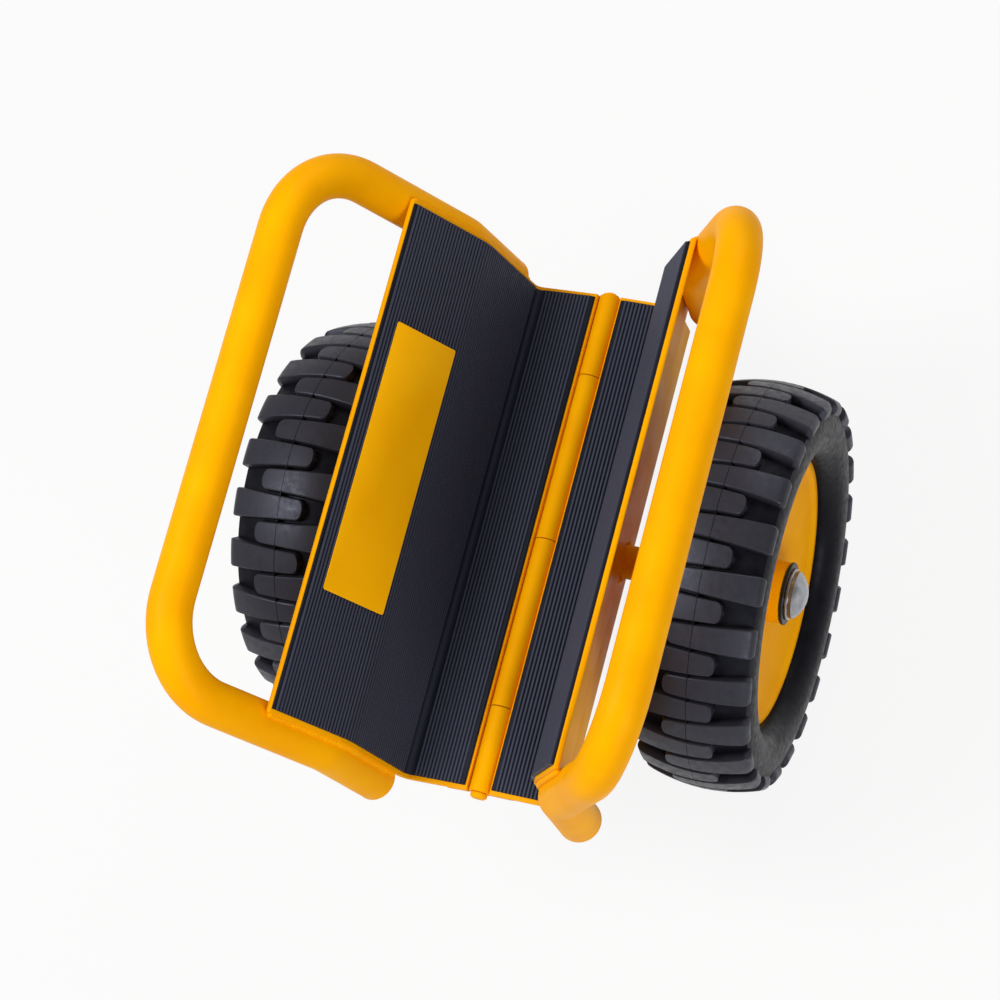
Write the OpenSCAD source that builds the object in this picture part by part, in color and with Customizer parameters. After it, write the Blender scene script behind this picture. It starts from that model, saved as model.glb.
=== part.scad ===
// Self-clamping drywall cart: two padded jaws on a centre hinge, a tube handle and a cambered wheel on each.
// X runs across the cart along the axles, Y along the travel, Z up. The floor is at zero, the jaws are open.

/* [Jaws] */
// Length of the jaws along the travel
plate_len = 386; // [326:5:446]
// Thickness of the folded jaw plate
plate_t = 4; // [3:0.5:5]
// Floor of one jaw, from the hinge axis to the fold under the side
floor_len = 58.5; // [52:0.5:66]
// Side of one jaw, from the fold to the bend under the flare
side_len = 89; // [76:1:102]
// Flare of one jaw, from the bend to its top edge
flare_len = 75; // [70:1:85]
// Rise of the floor away from the hinge: below zero it falls, and the open jaws carry the hinge as a ridge
floor_slope = -4; // [-6:0.5:-2]
// Lean of the side away from upright
side_lean = 7.5; // [4:0.5:11]
// Lean of the flare away from upright
flare_lean = 28.5; // [25:0.5:32]
// Inner radius of the fold between floor and side
fold_r = 5; // [3.5:0.5:8]
// Radius of the bend between side and flare
flare_bend_r = 45; // [35:1:60]

/* [Pads] */
// Thickness of the rubber pads, ribs included
pad_t = 3; // [2.5:0.25:6]
// Distance between the pads' ribs
rib_pitch = 2.9; // [2.4:0.1:5]
// Height of the ribs
rib_h = 1; // [0.5:0.1:1.5]
// Margin of the pads inside the plate's long edges
pad_margin = 1.5; // [0.5:0.25:4]
// Margin of the pads inside the plate's ends
pad_end = 3; // [0.5:0.5:8]
// Length of the bare label plate
label_len = 202; // [120:2:240]
// Width of the bare label plate
label_w = 57; // [30:1:60]
// Thickness of the bare label plate
label_t = 0.8; // [0.5:0.1:1.5]
// Distance of the bare label plate from the flare's top edge
label_drop = 14; // [6:0.5:16]
// Shift of the label plate towards the far end
label_shift = 3; // [0:0.5:6]

/* [Hinge] */
// Diameter of the hinge pin
pin_d = 8; // [6:0.5:9]
// Outer diameter of the hinge knuckles
knuckle_d = 16; // [13:0.5:17]
// Thickness of the hinge leaves
leaf_t = 3; // [2.5:0.25:4]
// Width of a hinge leaf from the hinge axis
leaf_w = 26; // [20:0.5:27]
// Diameter of the pin's head
pin_head_d = 12.5; // [11:0.5:14]
// Thickness of the pin's head
pin_head_t = 4; // [3:0.5:6]
// Thickness of the clip on the pin's other end
clip_t = 1.5; // [1:0.25:2.5]

/* [Handles] */
// Outer diameter of the handle tube
tube_d = 32; // [28:0.5:36]
// Wall of the handle tube
tube_wall = 2.5; // [1.5:0.25:4]
// Reach of the grip past the flare's top edge
grip_reach = 90; // [80:1:120]
// Centre-line radius of the handle's corners
corner_r = 60; // [48:1:66]
// Distance of the tube's legs past the plate's ends
leg_out = 3; // [0:0.5:8]
// Shift of the handles towards the near end
leg_shift = 2; // [0:0.5:6]
// Length of the near legs past the fold
near_drop = -5; // [-20:1:12]
// Length of the far legs past the fold
far_drop = -9; // [-20:1:4]
// Height of the domes that close the tube's ends
plug_dome = 7; // [4:0.5:12]
// Depth of the plugs inside the tube's ends
plug_depth = 8; // [5:0.5:15]

/* [Axles] */
// Diameter of the axle between jaw and wheel
axle_d = 25; // [22:0.5:28]
// Diameter of the axle's journal inside the wheel
journal_d = 20; // [16:0.5:21]
// Tilt of the axles down to their outer ends
axle_tilt = 5; // [2:0.5:7]
// Distance of the axle line below the hinge axis
axle_drop = 15; // [14.5:0.5:18]
// Outer face of the axle rail, from the hinge plane along the axle
rail_out = 55; // [51:0.5:56]
// Width of the axle rail
rail_w = 26.5; // [24:0.5:27]
// Sheet thickness of the axle rail
rail_t = 4; // [3:0.5:5]
// Depth of the axle rail below the axle
rail_lip = 14; // [8:0.5:20]
// Distance of the rail's near end from the plate's end
rail_near = 16; // [10:1:30]
// Distance of the rail's far end from the plate's end
rail_far = 2; // [0:1:20]
// Reach of the axle past the rail's inner web
axle_tail = 3; // [2:0.5:5]

/* [Wheels] */
// Diameter of the tyre over its lugs
tyre_d = 300; // [270:2:320]
// Width of the tyre over its lugs
tyre_w = 86; // [78:1:92]
// Drop of the tread from its crown to the shoulder
crown_drop = 8; // [5:0.5:11]
// Wall of the tyre's carcass
tyre_wall = 9; // [7:0.5:12]
// Height of the lugs
lug_h = 7; // [5:0.5:9]
// Lugs on each shoulder
lug_count = 24; // [20:2:28]
// Depth of the lugs down the sidewall
lug_skirt = 9; // [7:0.5:12]
// Bevel of the lugs at the shoulder
lug_bevel = 4; // [2:0.5:6]
// Diameter of the rim inside the tyre
rim_d = 198; // [184:2:208]
// Width of the rim inside the tyre
rim_w = 52; // [46:1:58]
// Sheet thickness of the rim
rim_t = 2.5; // [2:0.25:3.5]
// Width of the rolled edge of the rim
rim_edge = 5; // [3:0.5:7]
// Distance of the wheel's middle from the hinge plane along the axle
wheel_out = 150; // [146:1:156]
// Depth of the dish in the rim discs
dish = 13; // [9:0.5:15]
// Diameter of the boss on the rim discs
boss_d = 45; // [40:1:50]
// Distance of the outer boss's face from the wheel's middle
boss_out = 30; // [27:0.5:33]
// Distance of the inner boss's face from the wheel's middle
boss_in = 36; // [32:0.5:40]
// Outer diameter of the hub tube
hub_d = 34; // [31:0.5:37]
// Wall of the hub tube
hub_wall = 3; // [2.5:0.25:3.5]
// Length of each hub bush
bush_len = 18; // [12:1:22]
// Diameter of the axle washers
washer_d = 46; // [40:1:50]
// Thickness of the axle washers
washer_t = 2.5; // [1.5:0.25:3.5]
// Diameter of the domed axle cap
cap_d = 38; // [33:1:41]
// Height of the domed axle cap
cap_h = 13; // [10:0.5:16]

/* [Opening springs] */
// Distance of each spring and stop pair from the middle of the cart
spring_y = 95; // [70:5:120]
// Depth of the springs and stops below the hinge axis
spring_drop = 20; // [18:0.5:21]
// Mean diameter of the spring coil
coil_d = 12; // [9:0.5:13]
// Diameter of the spring wire
wire_d = 2; // [1.5:0.1:2.4]
// Turns of the spring
coil_turns = 8; // [6:1:8]
// Half of the length of the spring between its anchors
spring_half = 19; // [17.5:0.5:21]
// Diameter of the spring anchors
anchor_d = 17; // [15.5:0.5:17.5]
// Distance of the stop blocks from the middle of the cart
stop_y = 150; // [135:5:165]
// Length of the stop blocks along the travel
stop_len = 22; // [14:1:30]
// Height of the stop blocks
stop_h = 12; // [8:0.5:14]

/* [Hidden] */
$fn = 64;
// Running clearance on a radius, clearance between moving faces, and gap between fixed faces
run_gap = 0.05;
move_gap = 0.3;
seat_gap = 0.05;
// Gap between the hinge knuckles and the edges of the plates
knuckle_gap = 0.5;
// Overrun of every cut
over = 1;
// Segments of a fold or bend
fold_steps = 8;

paint = "#f2a800";
rubber = "#25262b";
zinc = "#b9bcc0";
nylon = "#d8d6cc";

// Plan of the jaw: unit vectors of floor, side and flare, and normals that point into the cradle
function dir(a) = [cos(a), sin(a)];
floor_n = 90 + floor_slope;
side_n = 180 - side_lean;
flare_n = 180 - flare_lean;
floor_dir = dir(floor_n - 90);
side_dir = dir(side_n - 90);
flare_dir = dir(flare_n - 90);

// Corners of the plate's inner face, from the hinge outwards
knuckle_r = knuckle_d / 2;
floor_gap = knuckle_r + knuckle_gap;
plate_lift = leaf_t / 2 + plate_t;
fold_p = floor_dir * floor_len + dir(floor_n) * plate_lift;
bend_p = fold_p + side_dir * side_len;
fold_c = fold_p + (dir(floor_n) + dir(side_n)) * fold_r / (1 + dir(floor_n) * dir(side_n));
bend_c = bend_p - (dir(side_n) + dir(flare_n)) * flare_bend_r / (1 + dir(side_n) * dir(flare_n));
fold_cut = fold_r * tan((side_n - floor_n) / 2);

// Points along a face that lies depth inside the plate's inner face
function fold_arc(depth) = [for (i = [0 : fold_steps])
    fold_c - dir(floor_n + (side_n - floor_n) * i / fold_steps) * (fold_r - depth)];
function bend_arc(depth) = [for (i = [0 : fold_steps])
    bend_c + dir(side_n + (flare_n - side_n) * i / fold_steps) * (flare_bend_r + depth)];
function floor_at(along, depth) = floor_dir * along + dir(floor_n) * (plate_lift + depth);
function side_at(along, depth) = fold_p + side_dir * along + dir(side_n) * depth;
function flare_at(along, depth) = bend_p + flare_dir * along + dir(flare_n) * depth;
function jaw_line(depth) = concat([floor_at(floor_gap, depth)], fold_arc(depth), bend_arc(depth),
    [flare_at(flare_len, depth)]);
function reversed(list) = [for (i = [len(list) - 1 : -1 : 0]) list[i]];

// Frame that is turned with the axle: along the axle, and square to it
function axle_at(along, up) = dir(-axle_tilt) * along + dir(90 - axle_tilt) * up;
rail_in = rail_out - rail_w;
rail_bottom = -axle_drop - axle_d / 2 - rail_lip;
floor_rise = floor_slope + axle_tilt;
function under_floor(along) = along * tan(floor_rise) + leaf_t / 2 / cos(floor_rise);

// Handle: centre line outside the plate, straight runs and corners
tube_r = tube_d / 2;
tube_facets = 52;
// The tube swells a little at its bend, and is seated there on the outside of the plate's bend
bend_swell = 0.6;
bend_angle = flare_lean - side_lean;
bend_line_r = flare_bend_r - plate_t - tube_r;
leg_gap = bend_line_r - (bend_line_r - bend_swell / 2 - seat_gap) * cos(bend_angle / 2);
leg_depth = -(plate_t + tube_r + leg_gap);
leg_y = plate_len / 2 + leg_out;
// Lower ends of the legs: the way to the leg along Y, and the end of its centre line
leg_ends = [[-1, side_at(-near_drop, leg_depth)], [1, side_at(-far_drop, leg_depth)]];
leg_bend = bend_c + (dir(side_n) + dir(flare_n)) * (flare_bend_r + leg_depth)
    / (1 + dir(side_n) * dir(flare_n));
rise_len = norm(flare_at(flare_len + grip_reach, leg_depth) - leg_bend);

// Wheel: faces measured from the wheel's middle along the axle
tyre_r = tyre_d / 2;
half_tread = tyre_w / 2;
rim_r = rim_d / 2;
half_rim = rim_w / 2;
hub_r = hub_d / 2;
boss_r = boss_d / 2;
bush_d = hub_d - 2 * hub_wall;
shoulder_r = tyre_r - crown_drop;
tread_shares = [-1, -0.88, -0.6, -0.3, 0, 0.3, 0.6, 0.88, 1];
function tread_r(share) = tyre_r - crown_drop * share * share;
tread_top = [for (i = [1 : len(tread_shares) - 2]) [tread_shares[i] * half_tread, tread_r(tread_shares[i])]];
lug_pitch = 360 / lug_count;

// Height of the hinge axis above the floor, from the lowest ring of the tread
wheel_c = axle_at(wheel_out, -axle_drop);
tread_reach = max([for (p = tread_top) p[0] * sin(axle_tilt) + p[1] * cos(axle_tilt)]);
hinge_z = tread_reach - wheel_c[1];

// Stops and springs under the floor, in front of the rail's inner web
web_x = axle_at(rail_in, -spring_drop)[0];
stop_gap = move_gap / 2;

// Spring: one wire, straight at both ends, wound round X
wire_sides = 6;
rings_per_turn = 8;
// Straight end of the wire, as a share of its thickness
wire_end_share = 1.5;
coil_half = spring_half - wire_end_share * wire_d;
coil_rings = coil_turns * rings_per_turn;
function coil_at(i) = let (a = 360 * i / rings_per_turn)
    [-coil_half + 2 * coil_half * i / coil_rings, coil_d / 2 * cos(a), coil_d / 2 * sin(a)];
wire_path = concat([[-spring_half, coil_d / 2, 0]], [for (i = [0 : coil_rings]) coil_at(i)],
    [[spring_half, coil_d / 2, 0]]);

function unit(v) = v / norm(v);
function tangent(path, i) = i == 0 || i == len(path) - 1 ? [1, 0, 0] : unit(path[i + 1] - path[i - 1]);
function ring(path, i) = let (t = tangent(path, i), out = unit([0, path[i][1], path[i][2]]),
    side = unit(cross(t, out)), up = cross(side, t))
    [for (k = [0 : wire_sides - 1]) path[i]
        + (up * cos(360 * k / wire_sides) + side * sin(360 * k / wire_sides)) * wire_d / 2];
function wire_points(path) = [for (i = [0 : len(path) - 1]) each ring(path, i)];
function wire_quad(i, k) = let (a = i * wire_sides, n = (k + 1) % wire_sides)
    [[a + k, a + n, a + wire_sides + n], [a + k, a + wire_sides + n, a + wire_sides + k]];
function wire_end(first) = [for (k = [1 : wire_sides - 2]) first == 0
    ? [0, k + 1, k] : [first, first + k, first + k + 1]];
function wire_faces(count) = concat(wire_end(0),
    [for (i = [0 : count - 2]) for (k = [0 : wire_sides - 1]) each wire_quad(i, k)],
    wire_end((count - 1) * wire_sides));
// Least gap of the wire to itself, over points a turn or more apart
wire_gap = min([for (i = [0 : coil_rings]) for (j = [i + rings_per_turn - 2 : coil_rings])
    if (j > i + 2) norm(coil_at(j) - coil_at(i))]) - wire_d;
echo(least_spring_gap = wire_gap);

// Places: a jaw is drawn on the right, and the left one is the same jaw turned round.
// Pieces whose near and far ends differ are mirrored instead.
module on_right() {
    translate([0, 0, hinge_z]) children();
}

module on_left() {
    rotate([0, 0, 180]) on_right() children();
}

module mirrored_left() {
    mirror([1, 0, 0]) on_right() children();
}

// Extrudes a plan of X and Z along Y, centred
module along_jaw(length) {
    rotate([90, 0, 0]) linear_extrude(height = length, center = true) children();
}

// Frame on the axle line, with Z along the axle and zero at the hinge plane
module on_axle() {
    rotate([0, axle_tilt, 0]) translate([0, 0, -axle_drop]) rotate([0, 90, 0]) children();
}

// Frame in the wheel's middle, with Z along the axle outwards
module in_wheel() {
    on_axle() translate([0, 0, wheel_out]) children();
}

module both_ends() {
    children();
    mirror([0, 1, 0]) children();
}

module pipe(outer_d, inner_d, length) {
    difference() {
        cylinder(d = outer_d, h = length);
        translate([0, 0, -over]) cylinder(d = inner_d, h = length + 2 * over);
    }
}

module jaw_plate() {
    color(paint) along_jaw(plate_len) polygon(concat(jaw_line(0), reversed(jaw_line(-plate_t))));
}

// Knuckles of the right jaw along the hinge, as shares of its length from the near end
knuckle_shares = [[0, 1 / 6], [1 / 2, 5 / 6]];

module hinge_leaf() {
    color(paint) difference() {
        union() {
            along_jaw(plate_len) polygon([for (p = [[floor_gap, 0], [leaf_w, 0], [leaf_w, 1], [floor_gap, 1]])
                floor_at(p[0], -plate_t - leaf_t * p[1])]);
            for (k = knuckle_shares) knuckle((k[0] - 1 / 2) * plate_len, (k[1] - 1 / 2) * plate_len);
        }
        rotate([90, 0, 0]) cylinder(d = pin_d + 2 * run_gap, h = plate_len + 2 * over, center = true);
    }
}

module knuckle(from, to) {
    length = to - from - move_gap;
    translate([0, (from + to) / 2, 0]) {
        rotate([90, 0, 0]) cylinder(d = knuckle_d, h = length, center = true);
        along_jaw(length) polygon([for (p = [[0, 0], [leaf_w, 0], [leaf_w, 1], [0, 1]])
            floor_at(p[0], -plate_t - leaf_t * p[1])]);
    }
}

// Pad profile: a base line with ribs, from one end to the other of a row of steps
function rib_steps(length) = floor((length - rib_pitch) / rib_pitch);
rib_land_shares = [0.2, 0.3, 0.7, 0.8];
rib_rise_shares = [0, 1, 1, 0];
// Most that the floor pad fills of the fold's radius
fold_fill_share = 0.8;

module floor_pad() {
    first = floor_gap + pad_margin;
    length = floor_len - fold_cut - move_gap - max(0, pad_t - fold_r) - first;
    count = rib_steps(length);
    start = first + (length - count * rib_pitch) / 2;
    ribs = [for (i = [0 : count - 1]) for (k = [0 : 3])
        floor_at(start + (i + rib_land_shares[k]) * rib_pitch, pad_t - rib_h + rib_h * rib_rise_shares[k])];
    color(rubber) along_jaw(plate_len - 2 * pad_end) polygon(concat(
        [floor_at(first, 0), floor_at(first, pad_t - rib_h)], ribs,
        [floor_at(first + length, pad_t - rib_h)], fold_arc(min(pad_t - rib_h, fold_fill_share * fold_r)),
        reversed(fold_arc(seat_gap)), [floor_at(first + length, 0)]));
}

// Places along the side pad's line: straight side, bend and straight flare
side_flat = side_len - flare_bend_r * tan(bend_angle / 2);
bend_run = flare_bend_r * bend_angle * PI / 180;
flare_flat = flare_len - flare_bend_r * tan(bend_angle / 2);
function pad_at(run, depth) = run < side_flat ? side_at(run, depth)
    : run < side_flat + bend_run
    ? bend_c + dir(side_n - bend_angle * (run - side_flat) / bend_run) * (flare_bend_r + depth)
    : flare_at(run - side_flat - bend_run + flare_len - flare_flat, depth);

module side_pad() {
    first = fold_cut + move_gap + max(0, pad_t - fold_r);
    length = side_flat + bend_run + flare_flat - pad_margin - first;
    count = rib_steps(length);
    start = first + (length - count * rib_pitch) / 2;
    ribs = [for (i = [0 : count - 1]) for (k = [0 : 3])
        pad_at(start + (i + rib_land_shares[k]) * rib_pitch, pad_t - rib_h + rib_h * rib_rise_shares[k])];
    back = [for (i = [count : -1 : 0]) pad_at(start + i * rib_pitch, seat_gap)];
    color(rubber) along_jaw(plate_len - 2 * pad_end) polygon(concat(
        [pad_at(first, seat_gap), pad_at(first, pad_t - rib_h)], ribs,
        [pad_at(first + length, pad_t - rib_h), pad_at(first + length, seat_gap)], back));
}

// Bare plate on the ribs of the left flare
module label_plate() {
    label_top = flare_len - label_drop;
    corners = [[0, 0], [label_w, 0], [label_w, 1], [0, 1]];
    color(paint) translate([0, -label_shift, 0]) along_jaw(label_len)
        polygon([for (p = corners) flare_at(label_top - p[0], pad_t + label_t * p[1])]);
}

// The handle's whole line as a round bar: two legs, two bends, two rises, two corners and the grip
module handle_bar(diameter, extra) {
    $fn = tube_facets;
    grip_y = leg_y - corner_r;
    rise = rise_len - corner_r;
    for (leg = leg_ends) translate([0, leg[0] * leg_y, 0]) {
        rotate([0, 180 - bend_angle, 0]) cylinder(d = diameter, h = norm(leg_bend - leg[1]) + extra);
        sphere(d = diameter + bend_swell);
        cylinder(d = diameter, h = rise);
    }
    both_ends() translate([0, grip_y, rise]) rotate([90, 0, 90])
        rotate_extrude(angle = 90) translate([corner_r, 0]) circle(d = diameter);
    translate([0, grip_y, rise_len]) rotate([90, 0, 0]) cylinder(d = diameter, h = 2 * grip_y);
}

module handle() {
    color(paint) translate([leg_bend[0], -leg_shift, leg_bend[1]]) rotate([0, flare_lean, 0]) difference() {
        handle_bar(tube_d, 0);
        handle_bar(tube_d - 2 * tube_wall, over);
    }
}

// Domed plugs that close the tube's lower ends
module handle_plugs() {
    dome_r = (tube_r * tube_r + plug_dome * plug_dome) / (2 * plug_dome);
    color(paint) for (leg = leg_ends)
        translate([leg[1][0], leg[0] * leg_y - leg_shift, leg[1][1]]) rotate([0, side_lean, 0]) {
            intersection() {
                translate([0, 0, dome_r - plug_dome]) sphere(r = dome_r);
                translate([0, 0, -tube_d]) cylinder(r = tube_d, h = tube_d);
            }
            cylinder(r = tube_r - tube_wall - run_gap, h = plug_depth);
        }
}

// Rail under the floor: two webs square to the axle, joined by a flange that follows the floor
module axle_rail() {
    web = [rail_in, rail_in + rail_t, rail_out - rail_t, rail_out];
    flange = rail_t / cos(floor_rise);
    color(paint) difference() {
        translate([0, (rail_near - rail_far) / 2, 0]) along_jaw(plate_len - rail_near - rail_far) polygon([
            axle_at(web[0], rail_bottom), axle_at(web[1], rail_bottom),
            axle_at(web[1], under_floor(web[1]) - flange), axle_at(web[2], under_floor(web[2]) - flange),
            axle_at(web[2], rail_bottom), axle_at(web[3], rail_bottom),
            axle_at(web[3], under_floor(web[3])), axle_at(web[0], under_floor(web[0]))]);
        on_axle() translate([0, 0, rail_in - over])
            cylinder(d = axle_d + 2 * run_gap, h = rail_w + 2 * over);
    }
}

inner_face = wheel_out - boss_in - move_gap;
outer_face = wheel_out + boss_out + move_gap;

module axle() {
    tail = rail_in - axle_tail;
    shoulder = inner_face - washer_t;
    color(paint) on_axle() {
        translate([0, 0, tail]) cylinder(d = axle_d, h = shoulder - tail);
        translate([0, 0, shoulder]) cylinder(d = journal_d, h = outer_face + cap_h / 2 - shoulder);
    }
}

module inner_washer() {
    color(zinc) on_axle() translate([0, 0, inner_face - washer_t])
        pipe(washer_d, journal_d + 2 * run_gap, washer_t);
}

module outer_washer() {
    color("#3a3a3c") on_axle() translate([0, 0, outer_face])
        pipe(washer_d, journal_d + 2 * run_gap, washer_t);
}

// Dome with the arc of a sphere, on a short straight rim
cap_rim_share = 0.22;
module axle_cap() {
    rim_h = cap_h * cap_rim_share;
    dome_h = cap_h - rim_h;
    dome_r = (cap_d * cap_d / 4 + dome_h * dome_h) / (2 * dome_h);
    base = outer_face + washer_t;
    color(zinc) on_axle() translate([0, 0, base]) difference() {
        intersection() {
            translate([0, 0, cap_h - dome_r]) sphere(r = dome_r);
            cylinder(d = cap_d, h = cap_h);
        }
        translate([0, 0, -over]) cylinder(d = journal_d + 2 * run_gap,
            h = over + outer_face + cap_h / 2 - base + move_gap);
    }
}

// Blocks that meet at the middle of the cart and stop the jaws from opening further
module stop_blocks() {
    top = -spring_drop + stop_h / 2;
    bottom = -spring_drop - stop_h / 2;
    color(paint) both_ends() translate([0, stop_y, 0]) along_jaw(stop_len) polygon([
        [stop_gap, bottom], [web_x + (bottom + spring_drop) * tan(axle_tilt), bottom],
        [web_x + (top + spring_drop) * tan(axle_tilt), top], [stop_gap, top]]);
}

// Round anchors that the springs' ends sit in, cut to the slope of the rail's web
module spring_anchors() {
    color(paint) both_ends() translate([0, spring_y, 0]) difference() {
        translate([spring_half, 0, -spring_drop]) rotate([0, 90, 0]) cylinder(d = anchor_d, h = web_x);
        translate([web_x, 0, -spring_drop]) rotate([0, axle_tilt, 0])
            translate([0, -anchor_d, -web_x]) cube([2 * web_x, 2 * anchor_d, 2 * web_x]);
    }
}

module opening_spring(y) {
    color("#55585c") translate([0, y, hinge_z - spring_drop])
        polyhedron(points = wire_points(wire_path), faces = wire_faces(len(wire_path)));
}

// Pin through all the knuckles, with its head at the near end and a groove end for the clip
module hinge_pin() {
    head_face = plate_len / 2;
    color(paint) translate([0, 0, hinge_z]) rotate([90, 0, 0]) {
        translate([0, 0, -head_face - 2 * clip_t]) cylinder(d = pin_d, h = plate_len + 2 * clip_t);
        translate([0, 0, head_face]) cylinder(d = pin_head_d, h = pin_head_t);
    }
}

module pin_clip() {
    color(zinc) translate([0, plate_len / 2, hinge_z]) rotate([-90, 0, 0])
        pipe(pin_head_d, pin_d + 2 * run_gap, clip_t);
}

// Tyre: a hollow carcass with lugs that reach from each shoulder past the middle, in turn
sidewall_shares = [[0, 0], [0.5, 0.1], [0.86, 0.32], [0.97, 0.58], [0.93, 0.82]];
function carcass_side(side) = let (inner = [half_rim + rim_t / 2, rim_r + run_gap],
    outer = [half_tread, shoulder_r - lug_h])
    [for (s = sidewall_shares) [side * (inner[0] + (outer[0] - inner[0]) * s[0]),
        inner[1] + (outer[1] - inner[1]) * s[1]]];
function tread_band(depth) = [for (s = tread_shares) [s * (half_tread - depth / 2), tread_r(s) - depth]];

function cavity_side(side) = [[side * (half_rim - tyre_wall), rim_r + run_gap],
    [side * half_rim, (rim_r + shoulder_r) / 2],
    [side * (half_rim - tyre_wall / 2), shoulder_r - lug_h - tyre_wall]];

module carcass() {
    crown = [[0, tyre_r - lug_h - tyre_wall]];
    rotate_extrude() polygon([for (p = concat(carcass_side(-1), tread_band(lug_h), reversed(carcass_side(1)),
        cavity_side(1), crown, reversed(cavity_side(-1)))) [p[1], p[0]]]);
}

module lug_band() {
    side = [[half_tread, shoulder_r - lug_bevel], [half_tread - lug_h / 4, shoulder_r - lug_skirt],
        [half_tread - lug_h, shoulder_r - lug_skirt]];
    rotate_extrude() polygon([for (p = concat([for (q = reversed(side)) [-q[0], q[1]]], tread_top, side,
        reversed(tread_band(lug_h + over)))) [p[1], p[0]]]);
}

// Plan of a lug: root as a share of the pitch, corners as shares of half the tread and of half the root
lug_root_share = 0.56;
lug_root_w = lug_root_share * PI * tyre_d / lug_count;
lug_plan_shares = [[1.05, -0.8], [1.05, 0.8], [0.9, 0.96], [-0.28, 0.72], [-0.37, 0.56], [-0.42, 0.28],
    [-0.42, -0.28], [-0.37, -0.56], [-0.28, -0.72], [0.9, -0.96]];

module lug_plan() {
    polygon([for (p = lug_plan_shares) [p[1] * lug_root_w / 2, p[0] * half_tread]]);
}

module lug_cutters() {
    for (i = [0 : lug_count - 1]) {
        rotate([0, 0, i * lug_pitch]) lug_cutter();
        rotate([0, 0, (i + 1 / 2) * lug_pitch]) mirror([0, 0, 1]) lug_cutter();
    }
}

module lug_cutter() {
    depth = crown_drop + lug_skirt + lug_h;
    translate([0, -(tyre_r - depth), 0]) rotate([90, 0, 0]) linear_extrude(height = depth + over) lug_plan();
}

module tyre() {
    color(rubber) in_wheel() rotate([0, 0, -90]) {
        carcass();
        intersection() {
            lug_band();
            lug_cutters();
        }
    }
}

// One half of the rim: a boss, a dished disc and half of the barrel that the tyre sits on
function rim_profile(boss) = [
    [hub_r + run_gap, boss], [boss_r, boss], [boss_r, half_rim - dish],
    [rim_r - 2 * rim_edge, half_rim - rim_t], [rim_r - rim_edge, half_rim], [rim_r, half_rim],
    [rim_r, seat_gap], [rim_r - rim_t, seat_gap],
    [rim_r - rim_t, half_rim - 2 * rim_t], [boss_r, half_rim - dish - rim_t],
    [hub_r + run_gap, half_rim - dish - rim_t]];

module outer_rim() {
    color(paint) in_wheel() rotate_extrude() polygon(rim_profile(boss_out));
}

module inner_rim() {
    color(paint) in_wheel() mirror([0, 0, 1]) rotate_extrude() polygon(rim_profile(boss_in));
}

module hub_tube() {
    color(paint) in_wheel() translate([0, 0, -boss_in]) pipe(hub_d, bush_d, boss_in + boss_out);
}

module hub_bushes() {
    color(nylon) in_wheel() for (start = [-boss_in, boss_out - bush_len])
        translate([0, 0, start]) pipe(bush_d - 2 * run_gap, journal_d + 2 * run_gap, bush_len);
}

on_left() jaw_plate();  // left_jaw_plate
on_left() hinge_leaf();  // left_hinge_leaf
on_left() floor_pad();  // left_floor_pad
on_left() side_pad();  // left_side_pad
on_left() label_plate();
mirrored_left() handle();  // left_handle
mirrored_left() handle_plugs();  // left_handle_plugs
mirrored_left() axle_rail();  // left_axle_rail
on_left() axle();  // left_axle
on_left() inner_washer();  // left_inner_washer
on_left() outer_washer();  // left_outer_washer
on_left() axle_cap();  // left_axle_cap
on_left() stop_blocks();  // left_stop_blocks
on_left() spring_anchors();  // left_spring_anchors
hinge_pin();
pin_clip();
opening_spring(-spring_y);  // near_spring
opening_spring(spring_y);  // far_spring
on_left() tyre();  // left_tyre
on_left() outer_rim();  // left_outer_rim
on_left() inner_rim();  // left_inner_rim
on_left() hub_tube();  // left_hub_tube
on_left() hub_bushes();  // left_hub_bushes
on_right() jaw_plate();  // right_jaw_plate
on_right() hinge_leaf();  // right_hinge_leaf
on_right() floor_pad();  // right_floor_pad
on_right() side_pad();  // right_side_pad
on_right() handle();  // right_handle
on_right() handle_plugs();  // right_handle_plugs
on_right() axle_rail();  // right_axle_rail
on_right() axle();  // right_axle
on_right() inner_washer();  // right_inner_washer
on_right() outer_washer();  // right_outer_washer
on_right() axle_cap();  // right_axle_cap
on_right() stop_blocks();  // right_stop_blocks
on_right() spring_anchors();  // right_spring_anchors
on_right() tyre();  // right_tyre
on_right() outer_rim();  // right_outer_rim
on_right() inner_rim();  // right_inner_rim
on_right() hub_tube();  // right_hub_tube
on_right() hub_bushes();  // right_hub_bushes
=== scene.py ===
import math

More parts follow.
